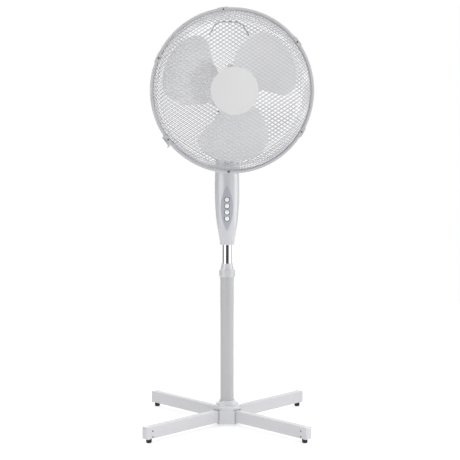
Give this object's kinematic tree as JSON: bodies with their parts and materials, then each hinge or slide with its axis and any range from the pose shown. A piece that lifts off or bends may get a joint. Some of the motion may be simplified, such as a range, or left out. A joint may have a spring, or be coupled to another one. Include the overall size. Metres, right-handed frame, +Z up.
{
  "type": "pedestal fan",
  "caption": "Upright fan with a round wire-mesh guard, a three-petal blade, a tilting and oscillating head, a push-button housing and a telescopic pole on a four-leg cross base.",
  "frame": {"origin": "on the floor, at the centre of the four feet and on the pole's axis", "axes": "+Z up along the pole; the front, where the air comes out, faces -Y with the head turned 7.03 degrees towards +X at rest; +X is on a viewer's right"},
  "size_m": [0.449, 0.4404, 1.1291],
  "materials": {
    "white_plastic": "smooth moulded, satin gloss",
    "white_steel": "white powder coat",
    "chrome": "polished chrome plate",
    "grey_panel": "fine matt",
    "button_plastic": "smooth gloss",
    "black_rubber": "matt",
    "guard_wire": "plastic-coated wire",
    "blade_plastic": "smooth moulded",
    "disc_plastic": "smooth moulded",
    "plain_steel": "zinc plated",
    "lamination_steel": "stacked laminations",
    "copper": "enamelled winding wire",
    "die_cast": "as cast",
    "nylon": "grey nylon",
    "black_plastic": "matt",
    "black_screw": "blackened",
    "dark_wire": "plain drawn wire"
  },
  "bodies": {
    "base": {"base_hub": "white_plastic", "base_cover": "white_plastic", "outer_pole": "white_steel", "pole_bush": "nylon", "leg_front_left": "white_steel", "leg_front_right": "white_steel", "leg_rear_left": "white_steel", "leg_rear_right": "white_steel", "leg_end_caps": "white_plastic", "rubber_feet": "black_rubber", "leg_screws": "black_screw", "pole_screw": "plain_steel"},
    "collar": {"height_collar": "white_plastic"},
    "mast": {"inner_pole": "chrome", "control_housing_front": "white_plastic", "control_housing_rear": "white_plastic", "control_panel": "grey_panel", "switch_block": "black_plastic", "button_springs": "plain_steel", "housing_screws": "plain_steel", "cord_inlet_grommet": "black_rubber", "tilt_base": "white_plastic", "tilt_pin": "plain_steel"},
    "button_1": {"button_1": "button_plastic"},
    "button_2": {"button_2": "button_plastic"},
    "button_3": {"button_3": "button_plastic"},
    "button_4": {"button_4": "button_plastic"},
    "tilt_knob": {"tilt_knob": "white_plastic"},
    "neck": {"neck": "white_plastic"},
    "head": {"swivel_bracket": "die_cast", "motor_front_casing": "white_plastic", "motor_rear_cover": "white_plastic", "stator": "lamination_steel", "windings": "copper", "front_bearing": "plain_steel", "rear_bearing": "plain_steel", "rear_bracket": "plain_steel", "gearbox_housing": "die_cast", "capacitor": "black_plastic", "rear_guard_mesh": "guard_wire", "rear_guard_plate": "white_plastic", "grille_nut": "white_plastic", "front_guard_mesh": "guard_wire", "guard_centre_disc": "disc_plastic", "front_guard_rim": "guard_wire", "rear_guard_rim": "guard_wire", "guard_clips": "guard_wire", "ring_screw": "black_screw", "clip_rivets": "black_screw", "disc_screw": "black_screw", "carry_handle": "dark_wire"},
    "rotor": {"fan_blade": "blade_plastic", "blade_nut": "white_plastic", "motor_shaft": "plain_steel", "rotor_core": "lamination_steel"},
    "worm_wheel": {"worm_wheel": "nylon"},
    "crank": {"crank_disc": "nylon"},
    "link": {"link_rod": "plain_steel"},
    "oscillation_knob": {"oscillation_knob": "white_plastic"},
    "guard_latch": {"guard_latch": "guard_wire"}
  },
  "joints": [
    {"name": "height_lock", "type": "hinge", "parent": "base", "child": "collar", "pos_m": [0, 0, 0.428], "axis": [0, 0, 1], "range_deg": [0, 300]},
    {"name": "mast_height", "type": "slide", "parent": "base", "child": "mast", "axis": [0, 0, 1], "range_m": [-0.045, 0.155]},
    {"name": "button_1_press", "type": "slide", "parent": "mast", "child": "button_1", "axis": [0, 1, 0], "range_m": [0, 0.004], "stiffness_N_per_m": 400, "springref_m": -0.001, "deforming": ["button_springs"]},
    {"name": "button_2_press", "type": "slide", "parent": "mast", "child": "button_2", "axis": [0, 1, 0], "range_m": [0, 0.004], "stiffness_N_per_m": 400, "springref_m": -0.001, "deforming": ["button_springs"]},
    {"name": "button_3_press", "type": "slide", "parent": "mast", "child": "button_3", "axis": [0, 1, 0], "range_m": [0, 0.004], "stiffness_N_per_m": 400, "springref_m": -0.001, "deforming": ["button_springs"]},
    {"name": "button_4_press", "type": "slide", "parent": "mast", "child": "button_4", "axis": [0, 1, 0], "range_m": [0, 0.004], "stiffness_N_per_m": 400, "springref_m": -0.001, "deforming": ["button_springs"]},
    {"name": "tilt_lock", "type": "hinge", "parent": "mast", "child": "tilt_knob", "pos_m": [0.03, 0, 0.826], "axis": [1, 0, 0], "range_deg": [0, 270]},
    {"name": "head_tilt", "type": "hinge", "parent": "mast", "child": "neck", "pos_m": [0, 0, 0.826], "axis": [1, 0, 0], "range_deg": [-25, 15]},
    {"name": "head_oscillation", "type": "hinge", "parent": "neck", "child": "head", "pos_m": [0, 0, 0.85], "axis": [0, 0, 1], "range_deg": [-47.03, 32.97]},
    {"name": "rotor_spin", "type": "hinge", "parent": "head", "child": "rotor", "pos_m": [0, 0, 0.9131], "axis": [0.1224, -0.9925, 0], "continuous": true},
    {"name": "worm_wheel_turn", "type": "hinge", "parent": "head", "child": "worm_wheel", "pos_m": [0.01043, 0.05842, 0.9131], "axis": [0, 0, 1], "continuous": true},
    {"name": "crank_turn", "type": "hinge", "parent": "head", "child": "crank", "pos_m": [0.01296, 0.03787, 0.86], "axis": [0, 0, 1], "range_deg": [-48, 68]},
    {"name": "link_swing", "type": "hinge", "parent": "neck", "child": "link", "pos_m": [0.02, 0, 0.848], "axis": [0, 0, 1], "range_deg": [-52, 36.5]},
    {"name": "oscillation_knob_press", "type": "slide", "parent": "head", "child": "oscillation_knob", "axis": [0, 0, 1], "range_m": [-0.008, 0]},
    {"name": "guard_latch_open", "type": "hinge", "parent": "head", "child": "guard_latch", "pos_m": [-0.16598, -0.14168, 0.79096], "axis": [0.1224, -0.9925, 0], "range_deg": [-80, 0]}
  ],
  "couplings": [
    {"joint": "worm_wheel_turn", "follows": "rotor_spin", "ratio": 0.03333},
    {"joint": "crank_turn", "follows": "head_oscillation", "ratio": -1.4334},
    {"joint": "link_swing", "follows": "head_oscillation", "ratio": 1.0875}
  ]
}
